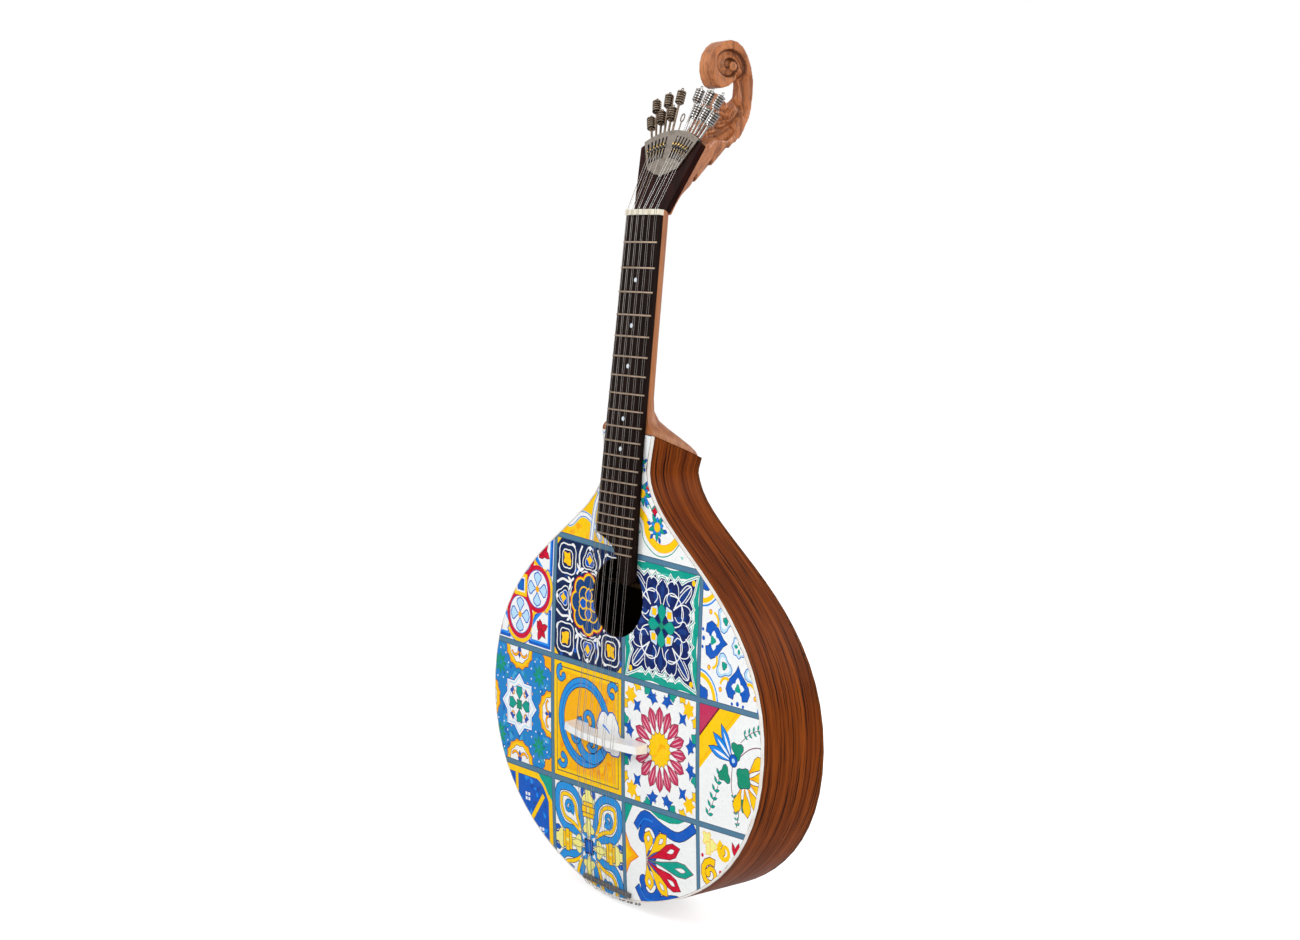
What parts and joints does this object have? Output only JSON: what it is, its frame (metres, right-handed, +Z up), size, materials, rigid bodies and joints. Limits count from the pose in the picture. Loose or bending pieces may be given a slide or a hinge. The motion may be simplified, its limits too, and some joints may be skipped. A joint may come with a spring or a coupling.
{
  "type": "portuguese guitar",
  "caption": "Round-bodied Portuguese guitar with a tile-painted soundboard, paired steel strings, a fan-shaped screw tuning machine and a carved scroll head.",
  "frame": {"origin": "middle of the soundboard's lower edge, at the front, where a stand's cradle takes the body", "axes": "+Z up the body to the head, -Y out of the soundboard towards the listener, +X the treble side"},
  "size_m": [0.394, 0.1539, 0.8085],
  "materials": {
    "painted_top": "gloss",
    "walnut": "satin",
    "cedar": "satin",
    "spruce": "raw",
    "ebony": "satin",
    "rosewood": "gloss",
    "bone": "satin",
    "white_edge": "satin",
    "nickel": "satin",
    "knob_steel": "polished",
    "brass": "polished",
    "steel": "polished"
  },
  "bodies": {
    "guitar_body": {"soundboard": "painted_top", "back": "walnut", "rib_treble": "walnut", "rib_bass": "walnut", "binding": "white_edge", "lining_top": "spruce", "lining_back": "spruce", "neck_block": "spruce", "tail_block": "spruce", "top_brace_lower": "spruce", "top_brace_upper": "spruce", "back_brace_lower": "spruce", "back_brace_upper": "spruce", "neck": "cedar", "fingerboard": "ebony", "fingerboard_wedge": "cedar", "nut": "bone", "head_plate": "rosewood", "scroll_head": "cedar", "fan_plate": "nickel", "bridge": "white_edge", "tail_bar": "ebony", "tailpiece": "steel", "string_01": "steel", "string_02": "steel", "string_03": "steel", "string_04": "steel", "string_05": "steel", "string_06": "steel", "string_07": "steel", "string_08": "steel", "string_09": "steel", "string_10": "steel", "string_11": "steel", "string_12": "steel"},
    "screw_01": {"tuner_screw_01": "knob_steel"},
    "screw_02": {"tuner_screw_02": "knob_steel"},
    "screw_03": {"tuner_screw_03": "knob_steel"},
    "screw_04": {"tuner_screw_04": "knob_steel"},
    "screw_05": {"tuner_screw_05": "knob_steel"},
    "screw_06": {"tuner_screw_06": "knob_steel"},
    "screw_07": {"tuner_screw_07": "knob_steel"},
    "screw_08": {"tuner_screw_08": "knob_steel"},
    "screw_09": {"tuner_screw_09": "knob_steel"},
    "screw_10": {"tuner_screw_10": "knob_steel"},
    "screw_11": {"tuner_screw_11": "knob_steel"},
    "screw_12": {"tuner_screw_12": "knob_steel"},
    "hook_01": {"tuner_hook_01": "brass"},
    "hook_02": {"tuner_hook_02": "brass"},
    "hook_03": {"tuner_hook_03": "brass"},
    "hook_04": {"tuner_hook_04": "brass"},
    "hook_05": {"tuner_hook_05": "brass"},
    "hook_06": {"tuner_hook_06": "brass"},
    "hook_07": {"tuner_hook_07": "brass"},
    "hook_08": {"tuner_hook_08": "brass"},
    "hook_09": {"tuner_hook_09": "brass"},
    "hook_10": {"tuner_hook_10": "brass"},
    "hook_11": {"tuner_hook_11": "brass"},
    "hook_12": {"tuner_hook_12": "brass"}
  },
  "joints": [
    {"name": "screw_turn_01", "type": "hinge", "parent": "guitar_body", "child": "screw_01", "pos_m": [-0.02656, 0.03886, 0.69337], "axis": [-0.454, 0.3047, 0.8373], "range_deg": [-5184, 7200]},
    {"name": "screw_turn_02", "type": "hinge", "parent": "guitar_body", "child": "screw_02", "pos_m": [-0.02276, 0.03947, 0.69503], "axis": [-0.3891, 0.3151, 0.8656], "range_deg": [-5184, 7200]},
    {"name": "screw_turn_03", "type": "hinge", "parent": "guitar_body", "child": "screw_03", "pos_m": [-0.01885, 0.03998, 0.69643], "axis": [-0.3223, 0.3238, 0.8896], "range_deg": [-5184, 7200]},
    {"name": "screw_turn_04", "type": "hinge", "parent": "guitar_body", "child": "screw_04", "pos_m": [-0.01484, 0.04039, 0.69756], "axis": [-0.2538, 0.3308, 0.9089], "range_deg": [-5184, 7200]},
    {"name": "screw_turn_05", "type": "hinge", "parent": "guitar_body", "child": "screw_05", "pos_m": [-0.01076, 0.0407, 0.69842], "axis": [-0.184, 0.3362, 0.9237], "range_deg": [-5184, 7200]},
    {"name": "screw_turn_06", "type": "hinge", "parent": "guitar_body", "child": "screw_06", "pos_m": [-0.00662, 0.04092, 0.69901], "axis": [-0.1132, 0.3398, 0.9337], "range_deg": [-5184, 7200]},
    {"name": "screw_turn_07", "type": "hinge", "parent": "guitar_body", "child": "screw_07", "pos_m": [0.00662, 0.04092, 0.69901], "axis": [0.1132, 0.3398, 0.9337], "range_deg": [-5184, 7200]},
    {"name": "screw_turn_08", "type": "hinge", "parent": "guitar_body", "child": "screw_08", "pos_m": [0.01076, 0.0407, 0.69842], "axis": [0.184, 0.3362, 0.9237], "range_deg": [-5184, 7200]},
    {"name": "screw_turn_09", "type": "hinge", "parent": "guitar_body", "child": "screw_09", "pos_m": [0.01484, 0.04039, 0.69756], "axis": [0.2538, 0.3308, 0.9089], "range_deg": [-5184, 7200]},
    {"name": "screw_turn_10", "type": "hinge", "parent": "guitar_body", "child": "screw_10", "pos_m": [0.01885, 0.03998, 0.69643], "axis": [0.3223, 0.3238, 0.8896], "range_deg": [-5184, 7200]},
    {"name": "screw_turn_11", "type": "hinge", "parent": "guitar_body", "child": "screw_11", "pos_m": [0.02276, 0.03947, 0.69503], "axis": [0.3891, 0.3151, 0.8656], "range_deg": [-5184, 7200]},
    {"name": "screw_turn_12", "type": "hinge", "parent": "guitar_body", "child": "screw_12", "pos_m": [0.02656, 0.03886, 0.69337], "axis": [0.454, 0.3047, 0.8373], "range_deg": [-5184, 7200]},
    {"name": "hook_slide_01", "type": "slide", "parent": "guitar_body", "child": "hook_01", "axis": [-0.454, 0.3047, 0.8373], "range_m": [-0.01, 0.0072], "deforming": ["string_01"]},
    {"name": "hook_slide_02", "type": "slide", "parent": "guitar_body", "child": "hook_02", "axis": [-0.3891, 0.3151, 0.8656], "range_m": [-0.01, 0.0072], "deforming": ["string_02"]},
    {"name": "hook_slide_03", "type": "slide", "parent": "guitar_body", "child": "hook_03", "axis": [-0.3223, 0.3238, 0.8896], "range_m": [-0.01, 0.0072], "deforming": ["string_03"]},
    {"name": "hook_slide_04", "type": "slide", "parent": "guitar_body", "child": "hook_04", "axis": [-0.2538, 0.3308, 0.9089], "range_m": [-0.01, 0.0072], "deforming": ["string_04"]},
    {"name": "hook_slide_05", "type": "slide", "parent": "guitar_body", "child": "hook_05", "axis": [-0.184, 0.3362, 0.9237], "range_m": [-0.01, 0.0072], "deforming": ["string_05"]},
    {"name": "hook_slide_06", "type": "slide", "parent": "guitar_body", "child": "hook_06", "axis": [-0.1132, 0.3398, 0.9337], "range_m": [-0.01, 0.0072], "deforming": ["string_06"]},
    {"name": "hook_slide_07", "type": "slide", "parent": "guitar_body", "child": "hook_07", "axis": [0.1132, 0.3398, 0.9337], "range_m": [-0.01, 0.0072], "deforming": ["string_07"]},
    {"name": "hook_slide_08", "type": "slide", "parent": "guitar_body", "child": "hook_08", "axis": [0.184, 0.3362, 0.9237], "range_m": [-0.01, 0.0072], "deforming": ["string_08"]},
    {"name": "hook_slide_09", "type": "slide", "parent": "guitar_body", "child": "hook_09", "axis": [0.2538, 0.3308, 0.9089], "range_m": [-0.01, 0.0072], "deforming": ["string_09"]},
    {"name": "hook_slide_10", "type": "slide", "parent": "guitar_body", "child": "hook_10", "axis": [0.3223, 0.3238, 0.8896], "range_m": [-0.01, 0.0072], "deforming": ["string_10"]},
    {"name": "hook_slide_11", "type": "slide", "parent": "guitar_body", "child": "hook_11", "axis": [0.3891, 0.3151, 0.8656], "range_m": [-0.01, 0.0072], "deforming": ["string_11"]},
    {"name": "hook_slide_12", "type": "slide", "parent": "guitar_body", "child": "hook_12", "axis": [0.454, 0.3047, 0.8373], "range_m": [-0.01, 0.0072], "deforming": ["string_12"]}
  ],
  "couplings": [
    {"joint": "screw_turn_01", "follows": "hook_slide_01", "rad_per_m": -12566},
    {"joint": "screw_turn_02", "follows": "hook_slide_02", "rad_per_m": -12566},
    {"joint": "screw_turn_03", "follows": "hook_slide_03", "rad_per_m": -12566},
    {"joint": "screw_turn_04", "follows": "hook_slide_04", "rad_per_m": -12566},
    {"joint": "screw_turn_05", "follows": "hook_slide_05", "rad_per_m": -12566},
    {"joint": "screw_turn_06", "follows": "hook_slide_06", "rad_per_m": -12566},
    {"joint": "screw_turn_07", "follows": "hook_slide_07", "rad_per_m": -12566},
    {"joint": "screw_turn_08", "follows": "hook_slide_08", "rad_per_m": -12566},
    {"joint": "screw_turn_09", "follows": "hook_slide_09", "rad_per_m": -12566},
    {"joint": "screw_turn_10", "follows": "hook_slide_10", "rad_per_m": -12566},
    {"joint": "screw_turn_11", "follows": "hook_slide_11", "rad_per_m": -12566},
    {"joint": "screw_turn_12", "follows": "hook_slide_12", "rad_per_m": -12566}
  ]
}
